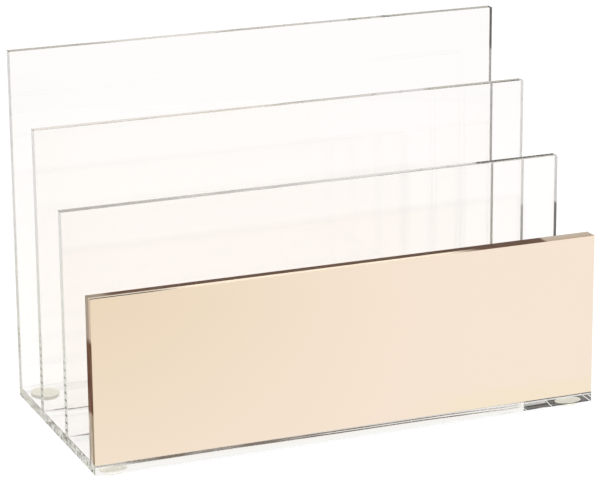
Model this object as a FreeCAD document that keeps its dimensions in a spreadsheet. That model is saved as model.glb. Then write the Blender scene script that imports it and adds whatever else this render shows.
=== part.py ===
import FreeCAD, Part
import os
import Sketcher

# Letter sorter of clear acrylic sheet
# A base plate on four bumper feet carries four upright panels. They step down towards the front
# and leave three slots between them for letters. A sheet of tinted mirror faces the front panel.
# Frame: millimetres, origin on the table under the middle of the base, X along the width,
# -Y towards the front, Z up.

# Driving dimensions in millimetres, each one a cell of the sheet
SIZES = {
    # Length of the base plate, the panels and the facing
    "width": 241.0,
    # Stock of the base plate and the four panels, and of the facing
    "sheet_thickness": 4.5,
    "mirror_thickness": 2.5,
    # Clear widths of the slots, counted from the front
    "front_slot": 30.8,
    "middle_slot": 31.7,
    "rear_slot": 30.0,
    # Heights of the panels over the top of the base plate
    "front_panel_height": 75.2,
    "front_divider_height": 103.8,
    "rear_divider_height": 131.9,
    "rear_panel_height": 160.5,
    # Flat that breaks each polished edge of a sheet
    "edge_break": 0.3,
    # Bumper feet: moulded discs, glued under the corners of the base plate
    "foot_diameter": 13.0,
    "foot_height": 1.9,
    "foot_rim_round": 0.7,
    "foot_draft": 0.25,
    # Middle of a foot from the end of the base plate and from its front or back edge
    "foot_end_inset": 9.6,
    "foot_side_inset": 8.2,
}

# Sheets that stand on the base plate, from the front backwards: name, stock, height, slot behind
UPRIGHTS = (
    ("mirror_facing", "mirror_thickness", "front_panel_height", None),
    ("front_panel", "sheet_thickness", "front_panel_height", "front_slot"),
    ("front_divider", "sheet_thickness", "front_divider_height", "middle_slot"),
    ("rear_divider", "sheet_thickness", "rear_divider_height", "rear_slot"),
    ("rear_panel", "sheet_thickness", "rear_panel_height", None),
)

# Corners of the base plate that carry a foot: name, side along X, side along Y
CORNERS = (
    ("foot_front_left", -1, -1),
    ("foot_front_right", 1, -1),
    ("foot_rear_left", -1, 1),
    ("foot_rear_right", 1, 1),
)

doc = FreeCAD.newDocument("letter_sorter")


def make_sheet():
    """The spreadsheet with one named cell for each driving dimension."""
    sheet = doc.addObject("Spreadsheet::Sheet", "Sizes")
    for row, (name, value) in enumerate(SIZES.items(), start=1):
        sheet.set(f"A{row}", name)
        sheet.set(f"B{row}", str(value))
        sheet.setAlias(f"B{row}", name)
    doc.recompute()


def cell(name):
    """The expression that reads one cell of the spreadsheet."""
    return f"Sizes.{name}"


def depth_up_to(index):
    """The expression for the depth taken by the uprights in front of one, slots included."""
    terms = []
    for name, stock, height, slot in UPRIGHTS[:index]:
        terms.append(cell(stock))
        if slot is not None:
            terms.append(cell(slot))
    return " + ".join(terms) if terms else "0"


BASE_DEPTH = f"({depth_up_to(len(UPRIGHTS))})"
BASE_TOP = f"({cell('foot_height')} + {cell('sheet_thickness')})"


def new_body(label, along_x, along_y, along_z):
    """A body that its three expressions place in the frame."""
    body = doc.addObject("PartDesign::Body", label)
    body.Label = label
    body.setExpression("Placement.Base.x", along_x)
    body.setExpression("Placement.Base.y", along_y)
    body.setExpression("Placement.Base.z", along_z)
    return body


def sketch_on(body, role, name):
    """An empty sketch on one of the body's own origin planes."""
    plane = next(item for item in body.Origin.OriginFeatures if item.Role == role)
    sketch = body.newObject("Sketcher::SketchObject", name)
    sketch.AttachmentSupport = (plane, "")
    sketch.MapMode = "FlatFace"
    return sketch


def bind(sketch, constraint, name, expression):
    """Adds a named dimension to the sketch and ties it to the spreadsheet."""
    index = sketch.addConstraint(constraint)
    sketch.renameConstraint(index, name)
    sketch.setExpression(f"Constraints.{name}", expression)


def draw_outline(sketch, corners):
    """Closed outline of straight lines through the corners, joined end to end."""
    count = len(corners)
    for index, corner in enumerate(corners):
        sketch.addGeometry(Part.LineSegment(corner, corners[(index + 1) % count]), False)
    for index in range(count):
        sketch.addConstraint(Sketcher.Constraint("Coincident", index, 2, (index + 1) % count, 1))


def draw_rectangle(sketch, low, high):
    """Rectangle with level and upright sides: line 0 below, 1 right, 2 above, 3 left."""
    draw_outline(sketch, [
        FreeCAD.Vector(low[0], low[1]),
        FreeCAD.Vector(high[0], low[1]),
        FreeCAD.Vector(high[0], high[1]),
        FreeCAD.Vector(low[0], high[1]),
    ])
    for index in (0, 2):
        sketch.addConstraint(Sketcher.Constraint("Horizontal", index))
    for index in (1, 3):
        sketch.addConstraint(Sketcher.Constraint("Vertical", index))


def break_edges(body, solid, edges):
    """Polished flats on the named edges of the body's solid."""
    flats = body.newObject("PartDesign::Chamfer", "EdgeBreak")
    flats.Base = (solid, edges)
    flats.Size = SIZES["edge_break"]
    flats.setExpression("Size", cell("edge_break"))
    body.Tip = flats


def edges_above_joint(solid):
    """Names of the edges of an upright that stay free when its lower face is glued down."""
    quarter_height = solid.Shape.BoundBox.ZLength / 4
    return [
        f"Edge{number}"
        for number, edge in enumerate(solid.Shape.Edges, start=1)
        if edge.CenterOfMass.z > quarter_height
    ]


def make_upright(label, stock, height, front):
    """A rectangular sheet that stands on the base plate, its lower edges left sharp for the joint."""
    body = new_body(label, "0", front, BASE_TOP)
    outline = sketch_on(body, "XZ_Plane", "Outline")
    half_width = SIZES["width"] / 2
    draw_rectangle(outline, (-half_width, 0), (half_width, SIZES[height]))
    outline.addConstraint(Sketcher.Constraint("Symmetric", 0, 1, 0, 2, -1, 1))
    bind(outline, Sketcher.Constraint("DistanceX", 0, 1, 0, 2, SIZES["width"]),
         "width", cell("width"))
    bind(outline, Sketcher.Constraint("DistanceY", 1, 1, 1, 2, SIZES[height]),
         "height", cell(height))
    pad = body.newObject("PartDesign::Pad", "Sheet")
    pad.Profile = outline
    pad.Length = SIZES[stock]
    pad.setExpression("Length", cell(stock))
    pad.Reversed = True
    doc.recompute()
    break_edges(body, pad, edges_above_joint(pad))
    return body


def make_base_plate():
    """The base plate, as deep as the uprights and slots that it carries."""
    body = new_body("base_plate", "0", "0", cell("foot_height"))
    outline = sketch_on(body, "XY_Plane", "Outline")
    half_width = SIZES["width"] / 2
    depth = sum(SIZES[stock] + SIZES.get(slot, 0) for name, stock, height, slot in UPRIGHTS)
    draw_rectangle(outline, (-half_width, -depth / 2), (half_width, depth / 2))
    outline.addConstraint(Sketcher.Constraint("Symmetric", 0, 1, 2, 1, -1, 1))
    bind(outline, Sketcher.Constraint("DistanceX", 0, 1, 0, 2, SIZES["width"]),
         "width", cell("width"))
    bind(outline, Sketcher.Constraint("DistanceY", 1, 1, 1, 2, depth),
         "depth", BASE_DEPTH)
    pad = body.newObject("PartDesign::Pad", "Sheet")
    pad.Profile = outline
    pad.Length = SIZES["sheet_thickness"]
    pad.setExpression("Length", cell("sheet_thickness"))
    doc.recompute()
    every_edge = [f"Edge{number}" for number in range(1, len(pad.Shape.Edges) + 1)]
    break_edges(body, pad, every_edge)
    return body


def make_foot(label, side_x, side_y):
    """A moulded disc: drawn-in wall, rounded rim on the table, flat top glued to the plate."""
    body = new_body(
        label,
        f"{side_x} * ({cell('width')} / 2 - {cell('foot_end_inset')})",
        f"{side_y} * ({BASE_DEPTH} / 2 - {cell('foot_side_inset')})",
        "0",
    )
    top_radius = SIZES["foot_diameter"] / 2
    low_radius = top_radius - SIZES["foot_draft"]
    height = SIZES["foot_height"]
    profile = sketch_on(body, "XZ_Plane", "Profile")
    draw_outline(profile, [
        FreeCAD.Vector(0, 0),
        FreeCAD.Vector(low_radius, 0),
        FreeCAD.Vector(top_radius, height),
        FreeCAD.Vector(0, height),
    ])
    for index in (0, 2):
        profile.addConstraint(Sketcher.Constraint("Horizontal", index))
    profile.addConstraint(Sketcher.Constraint("Coincident", 0, 1, -1, 1))
    profile.addConstraint(Sketcher.Constraint("PointOnObject", 2, 2, -2))
    bind(profile, Sketcher.Constraint("DistanceX", 0, 1, 0, 2, low_radius),
         "low_radius", f"{cell('foot_diameter')} / 2 - {cell('foot_draft')}")
    bind(profile, Sketcher.Constraint("DistanceX", 3, 1, 2, 1, top_radius),
         "top_radius", f"{cell('foot_diameter')} / 2")
    bind(profile, Sketcher.Constraint("DistanceY", 0, 1, 3, 1, height),
         "height", cell("foot_height"))
    disc = body.newObject("PartDesign::Revolution", "Disc")
    disc.Profile = profile
    disc.ReferenceAxis = (profile, ["V_Axis"])
    disc.Angle = 360
    doc.recompute()
    rim = next(
        f"Edge{number}"
        for number, edge in enumerate(disc.Shape.Edges, start=1)
        if edge.Closed and edge.CenterOfMass.z < height / 2
    )
    rounding = body.newObject("PartDesign::Fillet", "RimRound")
    rounding.Base = (disc, [rim])
    rounding.Radius = SIZES["foot_rim_round"]
    rounding.setExpression("Radius", cell("foot_rim_round"))
    body.Tip = rounding
    return body


def check(bodies):
    """Stops the build where a feature failed or a body isn't one sound solid."""
    for item in doc.Objects:
        if "Invalid" in item.State or "Error" in item.State:
            raise RuntimeError(f"{item.Label} failed: {item.State}")
    for body in bodies:
        shape = body.Shape
        if shape.isNull() or not shape.isValid() or len(shape.Solids) != 1:
            raise RuntimeError(f"{body.Label} isn't one sound solid")


def main():
    make_sheet()
    bodies = [make_base_plate()]
    for index, (label, stock, height, slot) in enumerate(UPRIGHTS):
        front = f"{depth_up_to(index)} - {BASE_DEPTH} / 2"
        bodies.append(make_upright(label, stock, height, front))
    for label, side_x, side_y in CORNERS:
        bodies.append(make_foot(label, side_x, side_y))
    doc.recompute()
    check(bodies)
    os.makedirs("parts", exist_ok=True)
    for body in bodies:
        body.Shape.exportStep(f"parts/{body.Label}.step")
        box = body.Shape.BoundBox
        print(f"{body.Label}: x {box.XMin:.2f} {box.XMax:.2f}  y {box.YMin:.2f} {box.YMax:.2f}"
              f"  z {box.ZMin:.2f} {box.ZMax:.2f}  volume {body.Shape.Volume:.1f}")


main()
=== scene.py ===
import math

import bmesh
import bpy
from mathutils import Matrix, Vector


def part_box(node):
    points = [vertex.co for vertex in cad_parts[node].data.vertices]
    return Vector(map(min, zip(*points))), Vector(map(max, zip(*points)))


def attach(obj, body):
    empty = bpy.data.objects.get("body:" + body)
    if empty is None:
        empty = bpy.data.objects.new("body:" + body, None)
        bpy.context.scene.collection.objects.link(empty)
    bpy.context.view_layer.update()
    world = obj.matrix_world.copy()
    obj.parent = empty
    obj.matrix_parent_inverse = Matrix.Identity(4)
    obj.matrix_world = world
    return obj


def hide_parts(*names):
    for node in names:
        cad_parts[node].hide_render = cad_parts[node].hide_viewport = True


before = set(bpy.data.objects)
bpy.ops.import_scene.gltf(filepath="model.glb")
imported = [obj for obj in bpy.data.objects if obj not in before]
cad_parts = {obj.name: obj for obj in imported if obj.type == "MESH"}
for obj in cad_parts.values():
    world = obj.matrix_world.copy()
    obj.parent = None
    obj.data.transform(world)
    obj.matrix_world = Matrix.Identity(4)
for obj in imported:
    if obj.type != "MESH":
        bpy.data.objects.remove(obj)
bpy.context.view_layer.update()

# Letter sorter of clear acrylic sheet with a rose-gold mirror facing, in metres.
# Every size and place comes from the CAD nodes' boxes, and the values below add surface detail.
# Colours are linear. A place along x is counted from the middle unless its comment says otherwise.

MM = 0.001
EDGE_BREAK = 0.3 * MM          # flat on each free edge of a sheet, as on the CAD sheets
POLISH = 0.12 * MM             # radius that polishing leaves on the sharp clear edges
EDGE_SEGMENTS = 2              # a polished edge is slightly rounded
SEAT = 0.02 * MM               # how far glued opaque faces sit in the clear sheet they touch
NEAR = 0.1 * MM                # what lies this near a plane counts as lying on it
CUT_REACH = 1e-7               # how near a cut a corner may lie and still be used for it
MERGE_REACH = 1e-6             # corners nearer than this are one
WAVE_HEIGHT = 0.4 * MM         # height of the wave in a sheet's face at full strength
GRAIN_HEIGHT = 0.1 * MM        # and of the grain of cut edges and feet
ACRYLIC_IOR = 1.49
UPWARD = (0.5, 0.9)            # z of the normal where a face starts to look up, and does fully
WHITE = (1.0, 1.0, 1.0, 1.0)

UPRIGHTS = ("front_panel", "front_divider", "rear_divider", "rear_panel")
FEET = ("foot_front_left", "foot_front_right", "foot_rear_left", "foot_rear_right")

# Camera solved from the photograph's straight edges
CAMERA_PLACE = (-0.45904, -1.12894, 0.43791)
CAMERA_VIEW = (0.36035, 0.88879, -0.28321)
CAMERA_UP = (0.11409, 0.25933, 0.95903)
CAMERA_LENS = 166.55           # mm on the sensor below
SENSOR_WIDTH = 36.0            # mm
CLIP_START = 0.01


# Node trees

class Tree:
    """A material's or world's node tree, with short calls to add and join nodes."""

    def __init__(self, owner):
        owner.use_nodes = True
        self.tree = owner.node_tree
        self.tree.nodes.clear()

    def add(self, kind, inputs=None, **settings):
        node = self.tree.nodes.new(kind)
        for name, value in settings.items():
            setattr(node, name, value)
        for name, value in (inputs or {}).items():
            self.put(node.inputs[name], value)   # by name or number
        return node

    def put(self, socket, value):
        """A value, or the output that feeds the socket."""
        if isinstance(value, bpy.types.NodeSocket):
            self.tree.links.new(value, socket)
        else:
            socket.default_value = value

    def math(self, operation, *values):
        node = self.add("ShaderNodeMath", operation=operation)
        for socket, value in zip(node.inputs, values):
            self.put(socket, value)
        return node.outputs[0]

    def product(self, first, *others):
        for other in others:
            first = self.math("MULTIPLY", first, other)
        return first

    def remainder(self, share):
        return self.math("SUBTRACT", 1.0, share)

    def ramp(self, value, low, high, to_low=0.0, to_high=1.0, smooth=True):
        """Maps value from low..high to to_low..to_high, clamped."""
        node = self.add("ShaderNodeMapRange", {
            "Value": value, "From Min": low, "From Max": high,
            "To Min": to_low, "To Max": to_high,
        }, interpolation_type="SMOOTHSTEP" if smooth else "LINEAR")
        return node.outputs["Result"]

    def line(self, value, middle, half_width, soft):
        """Mask of a line: 1 within half_width of middle, and 0 from a distance soft further out."""
        away = self.math("ABSOLUTE", self.math("SUBTRACT", value, middle))
        return self.ramp(away, half_width + soft, half_width)

    def stretch(self, value, low, high, soft):
        """Mask that is 1 from low to high, and 0 from a distance soft further out."""
        return self.line(value, (low + high) / 2, (high - low) / 2, soft)

    def mix_colour(self, share, first, second):
        node = self.add("ShaderNodeMix", data_type="RGBA")
        self.put(node.inputs[0], share)
        self.put(node.inputs[6], first)
        self.put(node.inputs[7], second)
        return node.outputs[2]

    def mix_shader(self, share, first, second):
        node = self.add("ShaderNodeMixShader")
        self.put(node.inputs[0], share)
        self.put(node.inputs[1], first)
        self.put(node.inputs[2], second)
        return node.outputs[0]

    def noise(self, scale, detail, stretch=None):
        """Noise in the frame's own metres; stretch scales the axes."""
        vector = self.add("ShaderNodeTexCoord").outputs["Object"]
        if stretch is not None:
            vector = self.add("ShaderNodeMapping", {"Vector": vector, "Scale": stretch}).outputs[0]
        node = self.add("ShaderNodeTexNoise", {"Vector": vector, "Scale": scale, "Detail": detail})
        return node.outputs["Fac"]

    def bump(self, height, strength, distance):
        """Normal of a surface that the height map raises."""
        inputs = {"Height": height, "Strength": strength, "Distance": distance}
        return self.add("ShaderNodeBump", inputs).outputs["Normal"]

    def place(self):
        """Object coordinates split in x, y, z: the frame's own metres."""
        coordinates = self.add("ShaderNodeTexCoord").outputs["Object"]
        return self.add("ShaderNodeSeparateXYZ", {"Vector": coordinates}).outputs

    def normal_z(self):
        """How far the surface faces up, from -1 to 1."""
        normal = self.add("ShaderNodeNewGeometry").outputs["Normal"]
        return self.add("ShaderNodeSeparateXYZ", {"Vector": normal}).outputs["Z"]

    def transparent(self, tint):
        return self.add("ShaderNodeBsdfTransparent", {"Color": tint}).outputs[0]

    def glass(self, tint, **others):
        """Clear acrylic. Light that crosses a sheet takes on the tint once."""
        return self.add("ShaderNodeBsdfPrincipled", {
            "Base Color": tint, "Roughness": 0.0, "IOR": ACRYLIC_IOR, "Transmission Weight": 1.0,
            **others,
        }).outputs[0]

    def matt(self, tone, roughness, gloss):
        """Opaque surface with little or no gloss."""
        return self.add("ShaderNodeBsdfPrincipled", {
            "Base Color": tone, "Roughness": roughness, "Specular IOR Level": gloss,
        }).outputs[0]

    def surface(self, shader):
        self.add("ShaderNodeOutputMaterial", {"Surface": shader})


def new_material(name):
    mat = bpy.data.materials.new(name)
    return mat, Tree(mat)


def ray_kinds(t):
    """Shares of two kinds of ray: seen straight through, and mirrored at least once."""
    path = t.add("ShaderNodeLightPath").outputs
    mirrored = t.math("GREATER_THAN", path["Glossy Depth"], 0.5)
    seen = t.math("MAXIMUM", path["Is Camera Ray"], path["Is Transmission Ray"])
    sharp = t.math("MAXIMUM", path["Is Transmission Ray"], path["Is Glossy Ray"])
    return t.product(seen, t.remainder(mirrored)), t.product(mirrored, sharp)


# Clear sheets

WINDOW_TINT = (0.96, 0.96, 0.96, 1.0)      # what a clear face takes from light that passes it

FACE_MIDDLE_TINT = (0.998, 0.991, 0.986, 1.0)
FACE_END_TINT = (0.992, 0.984, 0.976, 1.0)
FACE_END_STRETCH = (40.0 * MM, 4.0 * MM)   # from an end: where its tint starts, and is full

CEMENT = (0.11, 0.09, 0.08, 1.0)
CEMENT_SHARES = (("front_divider", 1.0), ("rear_divider", 1.0), ("rear_panel", 0.15))
CEMENT_HEIGHT = 0.4 * MM                   # over the base plate
CEMENT_HALF = 0.15 * MM
CEMENT_SOFT = 0.25 * MM
CEMENT_STRETCH = (1.0 * MM, 10.0 * MM)     # from the left end: where it starts, and is full

EDGE_TINT = (0.988, 0.986, 0.982, 1.0)
EDGE_TINT_DEEP = (0.978, 0.976, 0.970, 1.0)
# Painted dark reflection on the upward faces of the edges: grey, and tan on the rear divider
REFLECTION_GREY = (0.17, 0.16, 0.155, 1.0)
REFLECTION_TAN = (0.27, 0.20, 0.13, 1.0)         # on the rear divider
REFLECTION_STRETCH = (25.0 * MM, -35.0 * MM)     # along x: where the painted dark reflection starts, and is full
REFLECTION_SHARE = 0.30
FRONT_REFLECTION_STRETCH = (10.0 * MM, -60.0 * MM)       # added on the front divider
FRONT_REFLECTION_SHARE = 0.35
TAN_HALF = 5.0 * MM
TAN_SOFT = 1.0 * MM

END_TINT = (0.98, 0.98, 0.965, 1.0)
SATIN_DARK = (0.77, 0.76, 0.68, 1.0)
SATIN_PALE = (0.85, 0.84, 0.77, 1.0)
SATIN_UPPER = (0.82, 0.80, 0.79, 1.0)
SATIN_UPPER_STRETCH = (50.0 * MM, 110.0 * MM)      # heights where it starts, and is full
SATIN_DIVIDER = (0.95, 0.935, 0.92, 1.0)
DIVIDER_REACH = 5.5 * MM                   # behind the rear divider, to part it from the panel
END_MARK = (0.09, 0.078, 0.075, 1.0)
MARK_STRETCH = (20.0 * MM, 0.0)            # along y: where the marks get dense, and are densest

# Painted dark reflections as rows of dots on the left ends: sheet, z of the lowest dot, pitch,
# strength
REFLECTION_DOTS = (
    ("front_divider", 9.15 * MM, 3.53 * MM, 1.0),
    ("rear_divider", 10.08 * MM, 3.26 * MM, 0.7),
)
DOT_CORE = 0.24 * MM                       # half the height of a dot's dark core
DOT_REACH = 0.60 * MM                      # half the height of the whole dot
DOT_HALF = 0.9 * MM                        # half its width
DOT_SOFT = 1.0 * MM
DOT_FADE = (18.0 * MM, 62.0 * MM)          # heights where the rows start to fade, and end

# Painted dark reflections inside the right ends: sheet, lowest and highest z, strength
INNER_REFLECTIONS = (
    ("rear_panel", 147.2 * MM, 166.0 * MM, 1.0),
    ("front_divider", 8.0 * MM, 86.4 * MM, 0.9),
    ("rear_divider", 8.0 * MM, 76.1 * MM, 0.55),
)
INNER_REFLECTION_HALF = 3.0 * MM
INNER_REFLECTION_SIDE_SOFT = 0.1 * MM
INNER_REFLECTION_SOFT = 2.0 * MM

LEFT_VEIL = 0.2                            # added to the veil's share on the left ends
DIVIDER_VEIL = 0.78
MARK_VEIL = 0.97
BASE_LEFT_VEIL = 0.62
BASE_RIGHT_VEIL = 0.04


def lets_light_through(t, shader):
    """Clear sheet throws almost no shadow: lamp and bounced light pass it as through a window."""
    path = t.add("ShaderNodeLightPath").outputs
    passing = t.math("MAXIMUM", path["Is Shadow Ray"], path["Is Diffuse Ray"])
    return t.mix_shader(passing, shader, t.transparent(WINDOW_TINT))


def cement_lines(t, place):
    """Mask of the thin lines along the feet of the sheets behind the front pair, in front."""
    base_low, base_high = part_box("base_plate")
    on_front = 0.0
    for name, share in CEMENT_SHARES:
        away = t.math("ABSOLUTE", t.math("SUBTRACT", place["Y"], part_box(name)[0].y))
        on_front = t.math("MAXIMUM", on_front, t.product(t.math("LESS_THAN", away, NEAR), share))
    start, full = CEMENT_STRETCH
    return t.product(
        t.line(place["Z"], base_high.z + CEMENT_HEIGHT, CEMENT_HALF, CEMENT_SOFT),
        on_front,
        t.ramp(t.noise(scale=60.0, detail=3.0), 0.35, 0.6, to_low=0.55, to_high=0.95),
        t.ramp(place["X"], base_low.x + start, base_low.x + full, to_low=0.25))


def acrylic_face():
    """Cast acrylic as it comes from the mould: clear, with a hardly visible wave. It has hardly
    any tint in the middle, and a little more where light leaves towards the ends."""
    mat, t = new_material("clear_acrylic_face")
    place = t.place()
    base_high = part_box("base_plate")[1]
    start, full = FACE_END_STRETCH
    aside = t.ramp(t.math("ABSOLUTE", place["X"]), base_high.x - start, base_high.x - full)
    wave = t.bump(t.noise(scale=9.0, detail=1.0), strength=0.03, distance=WAVE_HEIGHT)
    clear = t.glass(t.mix_colour(aside, FACE_MIDDLE_TINT, FACE_END_TINT), Normal=wave)
    cement = t.matt(CEMENT, roughness=0.4, gloss=0.2)
    t.surface(lets_light_through(t, t.mix_shader(cement_lines(t, place), clear, cement)))
    return mat


def acrylic_edge():
    """Cut and polished edge: clear, with a faintly uneven tint. The left halves of the upper
    edges carry a painted dark reflection, and the front divider's more so."""
    mat, t = new_material("clear_acrylic_edge")
    place = t.place()
    uneven = t.noise(scale=160.0, detail=2.0)
    clear = t.glass(t.mix_colour(uneven, EDGE_TINT, EDGE_TINT_DEEP))
    low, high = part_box("rear_divider")
    in_front = t.product(t.ramp(place["X"], *FRONT_REFLECTION_STRETCH, to_high=FRONT_REFLECTION_SHARE),
                         t.math("LESS_THAN", place["Y"], 0.0))
    dark_reflection = t.math("ADD", in_front, t.ramp(place["X"], *REFLECTION_STRETCH, to_high=REFLECTION_SHARE))
    dark_reflection = t.product(dark_reflection, t.ramp(t.normal_z(), *UPWARD),
                     t.ramp(t.noise(scale=40.0, detail=2.0), 0.3, 0.6, to_low=0.7))
    tan = t.line(place["Y"], (low.y + high.y) / 2, TAN_HALF, TAN_SOFT)
    # film: the painted dark reflection, tan on the rear divider
    film = t.matt(t.mix_colour(tan, REFLECTION_GREY, REFLECTION_TAN), roughness=0.5, gloss=0.3)
    t.surface(lets_light_through(t, t.mix_shader(dark_reflection, clear, film)))
    return mat


def painted_reflection_dots(t, place):
    """Mask of rows of small dots low on the dividers' ends: painted dark reflections."""
    dots = 0.0
    for name, start, pitch, strength in REFLECTION_DOTS:
        low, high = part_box(name)
        count = t.math("DIVIDE", t.math("SUBTRACT", place["Z"], start), pitch)
        away = t.math("PINGPONG", count, 0.5)
        row = t.product(
            t.ramp(away, DOT_REACH / pitch, DOT_CORE / pitch, to_high=strength),
            t.line(place["Y"], (low.y + high.y) / 2, DOT_HALF, DOT_SOFT))
        dots = t.math("MAXIMUM", dots, row)
    return t.product(dots, t.ramp(place["Z"], *DOT_FADE, to_low=1.0, to_high=0.0))


def painted_inner_reflections(t, place):
    """Mask of painted dark reflections: stretches of the right ends that look dark from within the
    sheet.
    """
    dark_stretches = 0.0
    for name, low_z, high_z, strength in INNER_REFLECTIONS:
        low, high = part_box(name)
        # cut: one stretch of painted dark reflection
        cut = t.product(
            t.line(place["Y"], (low.y + high.y) / 2, INNER_REFLECTION_HALF, INNER_REFLECTION_SIDE_SOFT),
            t.stretch(place["Z"], low_z, high_z, INNER_REFLECTION_SOFT),
            strength)
        dark_stretches = t.math("MAXIMUM", dark_stretches, cut)
    return t.product(dark_stretches, t.add("ShaderNodeNewGeometry").outputs["Backfacing"])


def acrylic_end():
    """Ends of the sheets: sawn and only lightly polished, so a pale satin veil lies over them.
    The base plate's left end carries the most of it, with small dark marks, and the sheets' ends
    carry painted dark reflections."""
    mat, t = new_material("clear_acrylic_end")
    place = t.place()
    on_base = t.math("LESS_THAN", place["Z"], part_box("base_plate")[1].z - NEAR / 2)
    on_upright = t.remainder(on_base)
    on_left = t.math("LESS_THAN", place["X"], 0.0)
    on_right = t.remainder(on_left)
    on_divider = t.math("LESS_THAN", place["Y"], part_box("rear_divider")[1].y + DIVIDER_REACH)

    # Small dark marks on the base plate's left end, then the painted dark reflections on the sheets'
    # ends
    speckle = t.noise(scale=560.0, detail=2.0, stretch=(1.0, 0.9, 1.0))
    marks = t.product(
        t.ramp(speckle, 0.51, 0.56, to_high=0.72),
        t.ramp(t.noise(scale=60.0, detail=1.0), 0.28, 0.38),
        t.ramp(place["Y"], *MARK_STRETCH, to_low=0.45),
        on_base, on_left)
    marks = t.math("MAXIMUM", marks, t.product(painted_reflection_dots(t, place), on_left, on_upright))
    marks = t.math("MAXIMUM", marks, t.product(painted_inner_reflections(t, place), on_right))

    # The dividers' ends are paler, and the upper ends greyer
    tone = t.mix_colour(t.noise(scale=700.0, detail=2.0), SATIN_DARK, SATIN_PALE)
    tone = t.mix_colour(t.ramp(place["Z"], *SATIN_UPPER_STRETCH), tone, SATIN_UPPER)
    tone = t.mix_colour(t.product(on_divider, on_right), tone, SATIN_DIVIDER)
    tone = t.mix_colour(marks, tone, END_MARK)

    blotches = t.noise(scale=110.0, detail=4.0, stretch=(1.0, 0.6, 2.2))
    veil = t.ramp(blotches, 0.3, 0.65, to_low=0.30, to_high=0.42)
    veil = t.math("ADD", veil, t.product(on_left, LEFT_VEIL))
    veil = t.math("MAXIMUM", veil, t.product(on_divider, DIVIDER_VEIL))
    veil = t.math("MAXIMUM", veil, t.product(marks, MARK_VEIL))
    base_veil = t.ramp(place["X"], -MM, MM, BASE_LEFT_VEIL, BASE_RIGHT_VEIL)
    veil = t.math("ADD", t.product(veil, on_upright), t.product(base_veil, on_base))
    # Light that runs along inside the sheet meets the clear part of the end only
    depth = t.add("ShaderNodeLightPath").outputs["Glossy Depth"]
    veil = t.product(veil, t.math("LESS_THAN", depth, 0.5))
    satin = t.matt(tone, roughness=0.5, gloss=0.3)
    t.surface(lets_light_through(t, t.mix_shader(veil, t.glass(END_TINT), satin)))
    return mat


def acrylic_joint():
    """Solvent joint between two clear sheets: light goes on from one into the other."""
    mat, t = new_material("acrylic_joint")
    t.surface(t.transparent(WHITE))
    return mat


# Mirror sheet and the front pair's cut edges

MIRROR_DEEP = (0.922, 0.782, 0.647, 1.0)
MIRROR_PALE = (0.932, 0.792, 0.659, 1.0)
MIRROR_FOOT = (0.915, 0.785, 0.610, 1.0)   # warmer low on the right
MIRROR_FOOT_HEIGHTS = (19.0 * MM, 9.0 * MM)
MIRROR_FOOT_STRETCH = (20.0 * MM, 60.0 * MM)

# Colours of the front pair's cut edges: painted reflections, all but the dark line of the glue seam
# and the grain
BROWN_DARK = (0.045, 0.022, 0.012, 1.0)
BROWN_PALE = (0.130, 0.074, 0.046, 1.0)
BROWN_DEEP = (0.020, 0.008, 0.004, 1.0)
TOP_BEIGE = (0.40, 0.33, 0.26, 1.0)
TOP_GREY = (0.27, 0.22, 0.16, 1.0)
TOP_GREY_SHARE = 0.85
END_BROWN = (0.120, 0.050, 0.027, 1.0)
END_RED = (0.215, 0.115, 0.070, 1.0)
END_LIGHT = (0.80, 0.70, 0.58, 1.0)
END_TAN = (0.46, 0.38, 0.29, 1.0)
END_GREY = (0.42, 0.34, 0.26, 1.0)
RIM_TOP = (0.76, 0.65, 0.51, 1.0)
RIM_TOP_LEFT = (0.60, 0.535, 0.43, 1.0)
RIM_RIGHT = (0.38, 0.29, 0.215, 1.0)
RIM_HEAD = (0.70, 0.54, 0.41, 1.0)
RIM_FOOT = (0.38, 0.30, 0.20, 1.0)
RIM_LINE = (0.055, 0.042, 0.027, 1.0)

# Along the pair's top, as distances from an end at which a stretch starts and is full
BEIGE_STRETCH = (25.8 * MM, 23.4 * MM)         # from the right end
BROWN_RIM_STRETCH = (75.0 * MM, 55.0 * MM)     # from the right end
GREY_STRETCH = (12.0 * MM, 5.0 * MM)           # from the left end
RIM_LINE_STRETCH = (46.0 * MM, 26.0 * MM)      # from the left end
RIM_LINE_DEPTH = 0.8 * MM                      # behind the mirror's front
RIM_LINE_HALF = 0.5 * MM
RIM_LINE_SOFT = 0.25 * MM
RIM_REACH = 0.2 * MM                           # how far the rim's colours reach past the seam

# Down the pair's ends, as heights over the base plate at which a stretch starts and is full
FOOT_STRETCH = (24.0 * MM, 22.0 * MM)
HEAD_STRETCH = (54.0 * MM, 58.0 * MM)
BACK_HALF = 0.6 * MM                           # brown line along the clear sheet's back
BACK_SOFT = 0.5 * MM
BACK_SHARE = 0.35
SEAM_HALF = 0.1 * MM                           # glue line between the two sheets
SEAM_SOFT = 0.3 * MM
SEAM_SHARE = 0.15
GRAIN_SHARE = 0.12


def mirror_film():
    """Rose-gold mirror under a polished acrylic surface."""
    mat, t = new_material("rose_gold_mirror")
    place = t.place()
    warm = t.product(t.ramp(place["Z"], *MIRROR_FOOT_HEIGHTS),
                     t.ramp(place["X"], *MIRROR_FOOT_STRETCH))
    tone = t.mix_colour(t.noise(scale=14.0, detail=3.0), MIRROR_DEEP, MIRROR_PALE)
    t.surface(t.add("ShaderNodeBsdfPrincipled", {
        "Base Color": t.mix_colour(warm, tone, MIRROR_FOOT), "Metallic": 1.0, "Roughness": 0.0,
        "Normal": t.bump(t.noise(scale=7.0, detail=1.0), strength=0.04, distance=WAVE_HEIGHT),
    }).outputs[0])
    return mat


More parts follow.
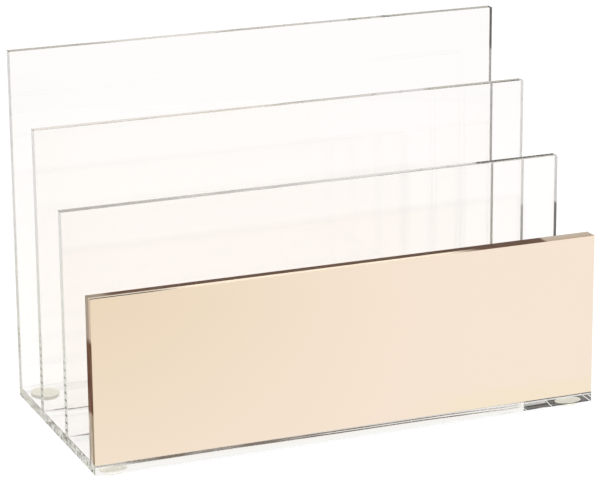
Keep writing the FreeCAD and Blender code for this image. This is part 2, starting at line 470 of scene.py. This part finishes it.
def laminate_top(t, place, rim):
    """Painted reflections along the top of the front pair."""
    low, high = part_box("front_panel")

    def from_left(start, full):
        return t.ramp(place["X"], low.x + start, low.x + full)

    def from_right(start, full):
        return t.ramp(place["X"], high.x - start, high.x - full)

    cloud = t.noise(scale=22.0, detail=3.0, stretch=(1.0, 3.0, 1.0))
    brown = t.mix_colour(cloud, BROWN_DARK, BROWN_PALE)
    right = from_right(*BEIGE_STRETCH)
    top = t.mix_colour(right, brown, TOP_BEIGE)
    top = t.mix_colour(t.product(from_left(*GREY_STRETCH), TOP_GREY_SHARE), top, TOP_GREY)
    rim_top = t.mix_colour(from_right(*BROWN_RIM_STRETCH), RIM_TOP, brown)
    rim_top = t.mix_colour(right, rim_top, RIM_RIGHT)
    near_left = from_left(*RIM_LINE_STRETCH)
    rim_top = t.mix_colour(near_left, rim_top, RIM_TOP_LEFT)
    line = t.line(place["Y"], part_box("mirror_facing")[0].y + RIM_LINE_DEPTH,
                  RIM_LINE_HALF, RIM_LINE_SOFT)
    rim_top = t.mix_colour(t.product(line, near_left), rim_top, RIM_LINE)
    return t.mix_colour(rim, top, rim_top)


def laminate_end(t, place, rim):
    """Painted reflections down the ends of the front pair: pale below, brown in the middle, grey
    above.
    """
    low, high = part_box("front_panel")

    def over_foot(start, full):
        return t.ramp(place["Z"], low.z + start, low.z + full)

    streaks = t.noise(scale=130.0, detail=3.0, stretch=(1.0, 4.0, 0.5))
    light = t.mix_colour(t.ramp(streaks, 0.4, 0.6), END_LIGHT, END_TAN)
    brown = t.mix_colour(t.ramp(streaks, 0.35, 0.65), END_BROWN, END_RED)
    end = t.mix_colour(over_foot(*FOOT_STRETCH), brown, t.mix_colour(rim, light, RIM_FOOT))
    end = t.mix_colour(over_foot(*HEAD_STRETCH), end, t.mix_colour(rim, END_GREY, RIM_HEAD))
    back = t.line(place["Y"], high.y, BACK_HALF, BACK_SOFT)
    return t.mix_colour(t.product(back, BACK_SHARE), end, END_BROWN)


def laminate_edge():
    """Cut edges of the glued front pair: what the mirror's back throws into the clear sheet is
    painted there as a dark brown reflection, with paler stretches near the ends and low on the sides,
    and the rim of the mirror sheet has a painted reflection nearly as pale as its face."""
    mat, t = new_material("front_pair_edge")
    place = t.place()
    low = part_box("front_panel")[0]
    rim = t.math("LESS_THAN", place["Y"], low.y + RIM_REACH)
    upward = t.ramp(t.normal_z(), *UPWARD)
    grain = t.noise(scale=240.0, detail=3.0)
    tone = t.mix_colour(upward, laminate_end(t, place, rim), laminate_top(t, place, rim))
    seam = t.product(t.line(place["Y"], low.y, SEAM_HALF, SEAM_SOFT), t.remainder(upward))
    tone = t.mix_colour(t.product(seam, SEAM_SHARE), tone, BROWN_DARK)
    tone = t.mix_colour(t.product(grain, GRAIN_SHARE), tone, BROWN_DEEP)
    t.surface(t.add("ShaderNodeBsdfPrincipled", {
        "Base Color": tone, "Roughness": 0.35, "Specular IOR Level": 0.03,
        "Normal": t.bump(grain, strength=0.1, distance=GRAIN_HEIGHT),
    }).outputs[0])
    return mat


# Front edge of the base plate

FRONT_TINT = (0.985, 0.98, 0.965, 1.0)
# Tones of the glue line and of the painted shade and dark reflections on the front edge, darker to
# the right
GLUE_AND_SHADE = (0.13, 0.105, 0.080, 1.0)
GLUE_AND_SHADE_PALE = (0.20, 0.165, 0.135, 1.0)
GLUE_AND_SHADE_RIGHT = (0.05, 0.040, 0.030, 1.0)
SHADE_RIGHT_STRETCH = (84.0 * MM, 88.0 * MM)
# Tone of the painted highlights
BRIGHT = (0.95, 0.94, 0.91, 1.0)
SHIMMER = (0.3, 0.6)               # noise where the lines start to change, and change fully

# Two dark lines, through points in mm along x and mm below the top: the glue line under the mirror
# sheet, darkened by painted shade, and below it a painted reflection of it
FIRST_LINE = (
    (-60.0, 0.52), (-10.0, 0.63), (45.0, 0.72), (64.0, 0.97), (74.0, 1.32), (80.0, 1.25),
)
SECOND_LINE = (
    (-55.0, 1.13), (-38.0, 1.3), (-9.0, 1.57), (35.0, 1.68), (54.0, 2.0), (66.0, 2.15),
    (75.0, 2.5), (82.0, 2.35),
)
DARK_LINE_HALF = 0.28 * MM
DARK_LINE_SOFT = 0.32 * MM
# Along x: where a change in the lines starts, and is full
NARROWING = (-35.0 * MM, 0.0)
FIRST_RISE = (-112.0 * MM, -100.0 * MM)
FIRST_FALL = (35.0 * MM, 75.0 * MM)
SECOND_RISE = (-118.0 * MM, -96.0 * MM)
SECOND_FALL = (45.0 * MM, 75.0 * MM)
DARK_LINES_END = (82.0 * MM, 86.0 * MM)

# Painted shade: a dark line right under the mirror, growing to the right
TOP_LINE_DEPTH = 0.2 * MM
TOP_LINE_HALF = 0.2 * MM
TOP_LINE_SOFT = 0.25 * MM
TOP_LINE_RISE = (68.0 * MM, 108.0 * MM)

# Painted dark reflections as streaks: start and end along x, depth below the top, half width,
# strength
STREAKS = (
    (88.0 * MM, 101.5 * MM, 2.75 * MM, 0.20 * MM, 0.75),
    (98.2 * MM, 100.8 * MM, 1.30 * MM, 0.35 * MM, 0.90),
)
STREAK_SOFT = 0.35 * MM
STREAK_END_SOFT = 1.0 * MM

# Painted highlights beside the streaks: a bright line and a haze
BRIGHT_LINE_DEPTH = 0.85 * MM
BRIGHT_LINE_HALF = 0.2 * MM
BRIGHT_LINE_SOFT = 0.3 * MM
BRIGHT_LINE_SHARE = 0.75
HAZE_DEPTH = 1.6 * MM
HAZE_HALF = 0.35 * MM
HAZE_SOFT = 0.7 * MM
HAZE_STRETCH = (84.0 * MM, 96.0 * MM)
HAZE_END_SOFT = 2.0 * MM

# Painted glints: x and z of the start, x and z of the end, strength
GLINTS = (
    (96.9 * MM, 5.5 * MM, 100.2 * MM, 1.95 * MM, 0.8),
    (114.8 * MM, 6.1 * MM, 119.9 * MM, 2.1 * MM, 0.8),
    (85.2 * MM, 3.4 * MM, 87.4 * MM, 1.95 * MM, 0.7),
    (118.9 * MM, 4.9 * MM, 120.4 * MM, 4.0 * MM, 0.9),
)
GLINT_HALF = 0.1 * MM
GLINT_SOFT = 0.2 * MM
GLINT_END_SOFT = 0.1 * MM


def dark_line_through(t, place, points, narrow):
    """Mask of a line through the points, level beyond them."""
    x = place["X"]
    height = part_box("base_plate")[1].z - points[0][1] * MM
    for (x0, depth0), (x1, depth1) in zip(points, points[1:]):
        step = t.ramp(x, x0 * MM, x1 * MM, 0.0, (depth0 - depth1) * MM, smooth=False)
        height = t.math("ADD", step, height)
    off = t.product(t.math("SUBTRACT", place["Z"], height), narrow)
    return t.line(off, 0.0, DARK_LINE_HALF, DARK_LINE_SOFT)


def dark_lines(t, place, shimmer):
    """Mask of the glue line, its painted reflection, the painted shade under the mirror and the
    painted dark streaks.
    """
    x, z = place["X"], place["Z"]
    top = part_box("base_plate")[1].z
    narrow = t.ramp(x, *NARROWING, to_low=1.1, to_high=1.45)
    ends = t.ramp(x, *DARK_LINES_END, to_low=1.0, to_high=0.0)
    first = t.product(dark_line_through(t, place, FIRST_LINE, narrow),
                      t.ramp(x, *FIRST_FALL, to_low=1.0, to_high=0.5),
                      t.ramp(x, *FIRST_RISE, to_low=0.6), ends)
    second = t.product(dark_line_through(t, place, SECOND_LINE, narrow),
                       t.ramp(x, *SECOND_FALL, to_low=1.0, to_high=0.5),
                       t.ramp(x, *SECOND_RISE), ends)
    third = t.product(t.line(z, top - TOP_LINE_DEPTH, TOP_LINE_HALF, TOP_LINE_SOFT),
                      t.ramp(x, *TOP_LINE_RISE, to_low=0.1, smooth=False))
    dark = t.math("MAXIMUM", t.math("MAXIMUM", first, second), third)
    for x0, x1, depth, half, strength in STREAKS:
        streak = t.product(t.line(z, top - depth, half, STREAK_SOFT),
                           t.stretch(x, x0, x1, STREAK_END_SOFT), strength)
        dark = t.math("MAXIMUM", dark, streak)
    return t.product(dark, t.ramp(shimmer, *SHIMMER, to_low=0.8))


def bright_lines(t, place, shimmer):
    """Mask of the painted highlights near the right end: the bright line, the haze and the glints."""
    x, z = place["X"], place["Z"]
    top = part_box("base_plate")[1].z
    line = t.product(t.line(z, top - BRIGHT_LINE_DEPTH, BRIGHT_LINE_HALF, BRIGHT_LINE_SOFT),
                     t.ramp(x, *DARK_LINES_END, to_high=BRIGHT_LINE_SHARE))
    haze = t.product(t.line(z, top - HAZE_DEPTH, HAZE_HALF, HAZE_SOFT),
                     t.stretch(x, *HAZE_STRETCH, HAZE_END_SOFT),
                     t.ramp(shimmer, *SHIMMER, to_low=0.2, to_high=0.5))
    bright = t.math("MAXIMUM", line, haze)
    for x0, z0, x1, z1, strength in GLINTS:
        length = math.hypot(x1 - x0, z1 - z0)
        across = t.math("ADD",
                        t.product(t.math("SUBTRACT", x, x0), (z1 - z0) / length),
                        t.product(t.math("SUBTRACT", z, z0), (x0 - x1) / length))
        glint = t.product(t.line(across, 0.0, GLINT_HALF, GLINT_SOFT),
                         t.stretch(x, x0, x1, GLINT_END_SOFT), strength)
        bright = t.math("MAXIMUM", bright, glint)
    return bright


def front_edge():
    """Front edge of the base plate: polished like the others, with the glue line under the mirror
    sheet and painted shade along it, a fainter painted reflection of the line below, and near the
    right end painted dark streaks, a painted bright line and haze, and a few painted glints."""
    mat, t = new_material("base_front_edge")
    place = t.place()
    shimmer = t.noise(scale=60.0, detail=3.0, stretch=(1.0, 1.0, 0.3))
    tone = t.mix_colour(t.ramp(place["X"], *SHADE_RIGHT_STRETCH),
                        t.mix_colour(shimmer, GLUE_AND_SHADE, GLUE_AND_SHADE_PALE), GLUE_AND_SHADE_RIGHT)
    # glue: tone of the glue line and of the painted shade and dark reflections; bright: painted
    # highlights
    glue = t.matt(tone, roughness=0.4, gloss=0.3)
    bright = t.matt(BRIGHT, roughness=0.4, gloss=0.3)
    shader = t.mix_shader(dark_lines(t, place, shimmer), t.glass(FRONT_TINT), glue)
    shader = t.mix_shader(bright_lines(t, place, shimmer), shader, bright)
    t.surface(lets_light_through(t, shader))
    return mat


# Bumper feet

# Rear and front feet are shaded and lit copies of one plastic: the front pair painted paler, with a
# painted glow
REAR_FOOT = (0.60, 0.58, 0.49, 1.0)
REAR_FOOT_PALE = (0.66, 0.64, 0.55, 1.0)
REAR_FOOT_WALL_SHADE = (0.50, 0.48, 0.40, 1.0)
FOOT_LIT = (0.92, 0.905, 0.80, 1.0)
FOOT_LIT_PALE = (0.96, 0.95, 0.85, 1.0)
FOOT_GLOW = (0.95, 0.94, 0.80, 1.0)
FOOT_GLOW_STRENGTH = 0.2
FOOT_SCATTER = 1.5 * MM                    # how deep light goes into the plastic
WALLWARD = (0.6, 0.3)                      # z of the normal where the wall's painted shade starts, and is full
FRONT_TO_REAR = (-20.0 * MM, 20.0 * MM)    # along y, between the front and the rear feet


def bumper_material():
    """Translucent, slightly greenish soft plastic of the bumper feet. The front pair, which stand in
    the shade of the mirror, are painted paler with a painted glow for the white table's light, and
    the walls of the rear pair carry painted shade."""
    mat, t = new_material("bumper_feet")
    cloud = t.noise(scale=220.0, detail=2.0)
    grain = t.noise(scale=900.0, detail=3.0)
    rear = t.mix_colour(cloud, REAR_FOOT, REAR_FOOT_PALE)
    rear = t.mix_colour(t.ramp(t.normal_z(), *WALLWARD), rear, REAR_FOOT_WALL_SHADE)
    front = t.mix_colour(cloud, FOOT_LIT, FOOT_LIT_PALE)
    painted_light_share = t.ramp(t.place()["Y"], *FRONT_TO_REAR, to_low=1.0, to_high=0.0)
    t.surface(t.add("ShaderNodeBsdfPrincipled", {
        "Base Color": t.mix_colour(painted_light_share, rear, front), "Roughness": 0.4,
        "Subsurface Weight": 0.15, "Subsurface Radius": (1.0, 1.0, 0.8),
        "Subsurface Scale": FOOT_SCATTER,
        "Normal": t.bump(grain, strength=0.15, distance=GRAIN_HEIGHT),
        "Emission Color": FOOT_GLOW, "Emission Strength": t.product(painted_light_share, FOOT_GLOW_STRENGTH),
    }).outputs[0])
    return mat


# Pieces

# Material numbers of the clear sheets, and of the mirror facing
FACE, EDGE, JOINT, END, FRONT = range(5)
FILM, CUT = range(2)

ALONG = 0.99                   # a face looks along an axis when its normal has this much of it
MAINLY = 0.9                   # and mainly along it from this much

FOOT_DRAFT = 0.25 * MM         # how far the wall draws in towards the table
FOOT_RIM = 0.7 * MM            # radius of the rounded rim on the table
FOOT_RIM_STEPS = 6
FOOT_LIP = 0.05 * MM           # width of the lip under the base plate, and height of its edge
FOOT_LIP_DEPTH = 0.12 * MM     # how far below the base plate the lip starts
FOOT_STEPS = 96                # round the foot
FOOT_LEVEL = 0.999             # a face this level is shaded flat


def add_object(name, bm, materials):
    mesh = bpy.data.meshes.new(name)
    bm.normal_update()
    bm.to_mesh(mesh)
    bm.free()
    for mat in materials:
        mesh.materials.append(mat)
    piece = bpy.data.objects.new(name, mesh)
    bpy.context.scene.collection.objects.link(piece)
    return piece


def box_mesh(low, high):
    bm = bmesh.new()
    bmesh.ops.create_cube(bm, size=1.0)
    size = high - low
    middle = (low + high) / 2
    bmesh.ops.transform(
        bm, matrix=Matrix.Translation(middle) @ Matrix.Diagonal((*size, 1.0)), verts=bm.verts)
    return bm


def middle_of(edge):
    return (edge.verts[0].co + edge.verts[1].co) / 2


def break_edges(bm, edges):
    bmesh.ops.bevel(
        bm, geom=edges, offset=POLISH, segments=EDGE_SEGMENTS, profile=0.5,
        affect="EDGES", clamp_overlap=True)
    bm.normal_update()


def cut_face(bm, towards, planes):
    """Cuts the faces that look along the vector towards, by planes through a point with a normal."""
    for point, normal in planes:
        faces = [f for f in bm.faces if f.normal.dot(towards) > ALONG]
        geometry = faces + list({e for f in faces for e in f.edges}) + \
            list({v for f in faces for v in f.verts})
        bmesh.ops.bisect_plane(bm, geom=geometry, plane_co=point, plane_no=normal, dist=CUT_REACH)
        bm.normal_update()


def mark_materials(bm, thin_axis, joint):
    """Broad faces, ends, polished edges, and the joint faces that the function joint tells."""
    bm.normal_update()
    for face in bm.faces:
        broad = abs(face.normal[thin_axis]) > ALONG
        face.material_index = FACE if broad else EDGE
        if abs(face.normal.x) > ALONG:
            face.material_index = END
        if joint(face):
            face.material_index = JOINT


def contact_limits():
    """Flat part of the base plate's top, inside its broken edges."""
    low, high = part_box("base_plate")
    return (low.x + EDGE_BREAK, high.x - EDGE_BREAK, low.y + EDGE_BREAK, high.y - EDGE_BREAK)


def make_upright(name, clear, cut=None):
    """A clear sheet: free edges polished round, lower face glued to the base plate."""
    low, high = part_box(name)
    left, right, front, back = contact_limits()
    bm = box_mesh(low, high)
    break_edges(bm, [e for e in bm.edges if middle_of(e).z > low.z + EDGE_BREAK])
    along_x, along_y = Vector((1, 0, 0)), Vector((0, 1, 0))
    cut_face(bm, Vector((0, 0, -1)), [
        (Vector((left, 0, 0)), along_x),
        (Vector((right, 0, 0)), along_x),
        (Vector((0, front, 0)), along_y),
        (Vector((0, back, 0)), along_y),
    ])

    def joint(face):
        middle = face.calc_center_median()
        return face.normal.z < -ALONG and left < middle.x < right and front < middle.y < back

    mark_materials(bm, 1, joint)
    materials = clear
    if cut is not None:
        materials = [clear[FACE], cut, clear[JOINT]]
        for face in bm.faces:
            if face.material_index == END:
                face.material_index = EDGE
            if face.normal.z < -MAINLY and face.material_index == EDGE:
                face.material_index = FACE
    piece = add_object(name + "_sheet", bm, materials)
    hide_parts(name)
    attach(piece, "root")


def make_base_plate(clear, front):
    """The base plate, its top cut where the uprights stand, so that light passes the joints."""
    low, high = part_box("base_plate")
    near, far = contact_limits()[2:]
    bm = box_mesh(low, high)
    break_edges(bm, [e for e in bm.edges if middle_of(e).z > high.z - MM])
    spans = [(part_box(name)[0].y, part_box(name)[1].y) for name in UPRIGHTS]
    spans[0] = (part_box("mirror_facing")[0].y, spans[0][1])
    lines = [y for span in spans for y in span if near < y < far]
    cut_face(bm, Vector((0, 0, 1)), [(Vector((0, y, 0)), Vector((0, 1, 0))) for y in lines])

    def joint(face):
        middle = face.calc_center_median()
        return face.normal.z > ALONG and any(a < middle.y < b for a, b in spans)

    mark_materials(bm, 2, joint)
    for face in bm.faces:
        if face.normal.y < -ALONG:
            face.material_index = FRONT
    piece = add_object("base_plate_sheet", bm, clear + [front])
    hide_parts("base_plate")
    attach(piece, "root")


def make_mirror_facing(film, cut):
    """The mirror sheet: film on its front, coloured cut edges, and a back seated in the panel."""
    low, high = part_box("mirror_facing")
    middle = (low + high) / 2
    bm = box_mesh(low, high)
    break_edges(bm, [e for e in bm.edges if middle_of(e).y < middle.y - NEAR
                     and middle_of(e).z > low.z + NEAR])
    for v in bm.verts:
        if v.co.y > high.y - NEAR:
            v.co.y = high.y + SEAT
    bm.normal_update()
    for face in bm.faces:
        face.material_index = FILM if abs(face.normal.y) > MAINLY else CUT
    piece = add_object("mirror_facing_sheet", bm, [film, cut])
    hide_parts("mirror_facing")
    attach(piece, "root")


def make_foot(name, mat):
    """A moulded bumper: drawn-in wall, rounded rim on the table, top seated in the base plate."""
    low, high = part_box(name)
    middle = (low + high) / 2
    radius = (high.x - low.x) / 2
    height = high.z - low.z
    flat = radius - FOOT_DRAFT - FOOT_RIM
    profile = [(0.0, 0.0), (flat, 0.0)]
    for step in range(1, FOOT_RIM_STEPS + 1):
        angle = math.pi / 2 * step / FOOT_RIM_STEPS
        profile.append((flat + FOOT_RIM * math.sin(angle), FOOT_RIM * (1 - math.cos(angle))))
    profile += [(radius - FOOT_LIP, height - FOOT_LIP_DEPTH), (radius, height - FOOT_LIP),
                (radius, height + SEAT), (0.0, height + SEAT)]
    bm = bmesh.new()
    verts = [bm.verts.new((x, 0.0, z)) for x, z in profile]
    edges = [bm.edges.new((a, b)) for a, b in zip(verts, verts[1:])]
    bmesh.ops.spin(bm, geom=verts + edges, cent=(0, 0, 0), axis=(0, 0, 1),
                   angle=2 * math.pi, steps=FOOT_STEPS, use_duplicate=False)
    bmesh.ops.remove_doubles(bm, verts=bm.verts, dist=MERGE_REACH)
    bmesh.ops.recalc_face_normals(bm, faces=bm.faces)
    bmesh.ops.translate(bm, verts=bm.verts, vec=(middle.x, middle.y, low.z))
    for face in bm.faces:
        face.smooth = abs(face.normal.z) < FOOT_LEVEL
    piece = add_object(name + "_bumper", bm, [mat])
    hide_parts(name)
    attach(piece, "root")


# Stage

FLOOR_RADIUS = 6.0
FLOOR_SEGMENTS = 96
FLOOR_TONE = (0.8, 0.8, 0.8, 1.0)          # for bounced light
SHADOW_TONE = (0.2, 0.2, 0.2, 1.0)         # the part of the shown floor that takes shadow
FLOOR_GLOW_THROUGH = (0.935, 0.926, 0.917, 1.0)    # the rest of it, seen through the sheets
FLOOR_GLOW = 0.84

# The studio that mirrored rays meet, by parts of the ray's direction where a change starts, and
# is full
ROOM_DARK = (0.06, 0.058, 0.055, 1.0)
ROOM_LIGHT = (0.9, 0.9, 0.9, 1.0)
ROOM_HEIGHTS = (0.45, 0.8)                 # z: dark room below, soft light overhead
TABLE_THROUGH = (0.94, 0.92, 0.89, 1.0)    # seen on through a sheet
TABLE_WARM = (0.90, 0.87, 0.77, 1.0)       # in front, towards the left
WARM_SIDES = (0.42, 0.27)                  # x
WARM_HEIGHTS = (-0.36, -0.306)             # z
TABLE_DARK = (0.14, 0.135, 0.125, 1.0)     # behind the object, to its left
GAP_SIDE = (-0.55, 0.835, 0.0)             # the direction of its middle
GAP_SHARES = (0.77, 0.90)                  # along that direction
AMBIENT = 0.62                             # even light on what isn't shiny

CARD_RADIUS = 0.6
CARD_BEHIND = 0.29                         # heights: straight behind, right of that, in front
CARD_RIGHT = 0.25
CARD_BEFORE = 0.42
CARD_TURNS = (62.0, 368.0)                 # degrees from straight behind, round by the left
CARD_FRONT_TURNS = (80.0, 280.0)
CARD_SLOPE = (345.0, 20.0)                 # end and length of the slope from right to behind
CARD_STEPS = 96
CARD_MIRRORED = (0.95, 0.94, 0.92, 1.0)
CARD_STRAIGHT = (1.0, 0.995, 0.99, 1.0)

LAMP_SIZE = 1.4
LAMP_POWER = 25.0
LAMP_PLACE = (-0.3, -0.4, 1.5)
LAMP_AIM = (0.0, 0.0, 0.05)


def floor_material():
    """Pale table. It shows as plain white, and takes a faint shadow. Rays that were mirrored on
    the way pass through it, and meet the studio that the world holds."""
    mat, t = new_material("studio_floor")
    straight, mirrored = ray_kinds(t)
    table = t.add("ShaderNodeBsdfDiffuse", {"Color": FLOOR_TONE}).outputs[0]
    shade = t.add("ShaderNodeBsdfDiffuse", {"Color": SHADOW_TONE}).outputs[0]
    camera = t.add("ShaderNodeLightPath").outputs["Is Camera Ray"]
    glow = t.add("ShaderNodeEmission", {
        "Color": t.mix_colour(camera, FLOOR_GLOW_THROUGH, WHITE), "Strength": FLOOR_GLOW,
    }).outputs[0]
    shown = t.add("ShaderNodeAddShader", {0: shade, 1: glow}).outputs[0]
    surface = t.mix_shader(straight, table, shown)
    t.surface(t.mix_shader(mirrored, surface, t.transparent(WHITE)))
    return mat


def make_floor():
    bm = bmesh.new()
    bmesh.ops.create_circle(bm, cap_ends=True, segments=FLOOR_SEGMENTS, radius=FLOOR_RADIUS)
    floor = add_object("floor", bm, [floor_material()])


def studio_colour(t):
    """White table below, dark room above with a soft light overhead, dark behind left."""
    through = t.add("ShaderNodeLightPath").outputs["Is Transmission Ray"]
    direction = t.add("ShaderNodeTexCoord").outputs["Generated"]
    parts = t.add("ShaderNodeSeparateXYZ", {"Vector": direction}).outputs
    level = t.add("ShaderNodeCombineXYZ", {"X": parts["X"], "Y": parts["Y"], "Z": 0.0}).outputs[0]
    level = t.add("ShaderNodeVectorMath", {0: level}, operation="NORMALIZE").outputs[0]
    toward = t.add("ShaderNodeVectorMath", {0: level, 1: GAP_SIDE},
                   operation="DOT_PRODUCT").outputs["Value"]
    warm = t.product(t.ramp(parts["X"], *WARM_SIDES),
                     t.ramp(parts["Z"], *WARM_HEIGHTS, to_low=0.30, smooth=False),
                     t.math("LESS_THAN", parts["Y"], 0.0))
    table = t.mix_colour(through, WHITE, TABLE_THROUGH)
    table = t.mix_colour(warm, table, TABLE_WARM)
    table = t.mix_colour(t.ramp(toward, *GAP_SHARES), table, TABLE_DARK)
    room = t.mix_colour(t.ramp(parts["Z"], *ROOM_HEIGHTS), ROOM_DARK, ROOM_LIGHT)
    return t.mix_colour(t.math("GREATER_THAN", parts["Z"], 0.0), table, room)


def make_world():
    """White where it is seen straight, even light on what is not shiny, and for reflections a
    studio. The table in front is a little warmer and darker towards the left."""
    world = bpy.data.worlds.new("studio")
    bpy.context.scene.world = world
    t = Tree(world)
    straight, mirrored = ray_kinds(t)

    def background(colour, strength):
        return t.add("ShaderNodeBackground", {"Color": colour, "Strength": strength}).outputs[0]

    shown = t.mix_shader(straight, background(WHITE, AMBIENT), background(WHITE, 1.0))
    shown = t.mix_shader(mirrored, shown, background(studio_colour(t), 1.0))
    t.add("ShaderNodeOutputWorld", {"Surface": shown})


def card_material():
    mat, t = new_material("studio_card")
    straight = ray_kinds(t)[0]
    tone = t.mix_colour(straight, CARD_MIRRORED, CARD_STRAIGHT)
    t.surface(t.add("ShaderNodeEmission", {"Color": tone, "Strength": 1.0}).outputs[0])
    return mat


def card_height(turn):
    if CARD_FRONT_TURNS[0] < turn < CARD_FRONT_TURNS[1]:
        return CARD_BEFORE
    slope_end, slope_length = CARD_SLOPE
    slope = min(1.0, max(0.0, (slope_end - turn) / slope_length))
    return CARD_BEHIND + (CARD_RIGHT - CARD_BEHIND) * slope


def make_card():
    """Low white card round the table, seen only in reflections and through the sheets."""
    bm = bmesh.new()
    start, end = CARD_TURNS
    rows = []
    for step in range(CARD_STEPS + 1):
        turn = start + (end - start) * step / CARD_STEPS
        angle = math.radians(turn)
        x, y = -CARD_RADIUS * math.sin(angle), CARD_RADIUS * math.cos(angle)
        rows.append((bm.verts.new((x, y, 0.0)), bm.verts.new((x, y, card_height(turn)))))
    for (a, b), (c, d) in zip(rows, rows[1:]):
        bm.faces.new((a, c, d, b))
    card = add_object("card", bm, [card_material()])
    card.visible_camera = False
    card.visible_diffuse = False
    card.visible_shadow = False


def make_lamp():
    lamp = bpy.data.lights.new("softbox", "AREA")
    lamp.shape = "SQUARE"
    lamp.size = LAMP_SIZE
    lamp.energy = LAMP_POWER
    holder = bpy.data.objects.new("softbox", lamp)
    holder.location = LAMP_PLACE
    aim = Vector(LAMP_AIM) - Vector(LAMP_PLACE)
    holder.rotation_euler = aim.to_track_quat("-Z", "Y").to_euler()
    holder.visible_camera = False
    holder.visible_glossy = False
    holder.visible_transmission = False
    bpy.context.scene.collection.objects.link(holder)


def make_camera():
    camera = bpy.data.cameras.new("photo_camera")
    camera.lens = CAMERA_LENS
    camera.sensor_width = SENSOR_WIDTH
    camera.sensor_fit = "HORIZONTAL"
    camera.clip_start = CLIP_START
    holder = bpy.data.objects.new("photo_camera", camera)
    back = -Vector(CAMERA_VIEW).normalized()
    side = Vector(CAMERA_UP).cross(back).normalized()
    up = back.cross(side)
    turn = Matrix((side, up, back)).transposed().to_4x4()
    holder.matrix_world = Matrix.Translation(Vector(CAMERA_PLACE)) @ turn
    bpy.context.scene.collection.objects.link(holder)
    bpy.context.scene.camera = holder


LONG_PATH = 128                # bounces of light that runs along inside a sheet
SHEETS_PASSED = 64             # bounces of light that passes sheet after sheet


def main():
    make_camera()
    make_world()
    make_lamp()
    make_floor()
    make_card()
    clear = [acrylic_face(), acrylic_edge(), acrylic_joint(), acrylic_end()]
    make_base_plate(clear, front_edge())
    cut = laminate_edge()
    for name in UPRIGHTS:
        make_upright(name, clear, cut if name == "front_panel" else None)
    make_mirror_facing(mirror_film(), cut)
    bumper = bumper_material()
    for name in FEET:
        make_foot(name, bumper)

    scene = bpy.context.scene
    scene.view_settings.view_transform = "Standard"
    scene.cycles.max_bounces = LONG_PATH
    scene.cycles.glossy_bounces = LONG_PATH
    scene.cycles.transmission_bounces = SHEETS_PASSED
    scene.cycles.transparent_max_bounces = SHEETS_PASSED


main()
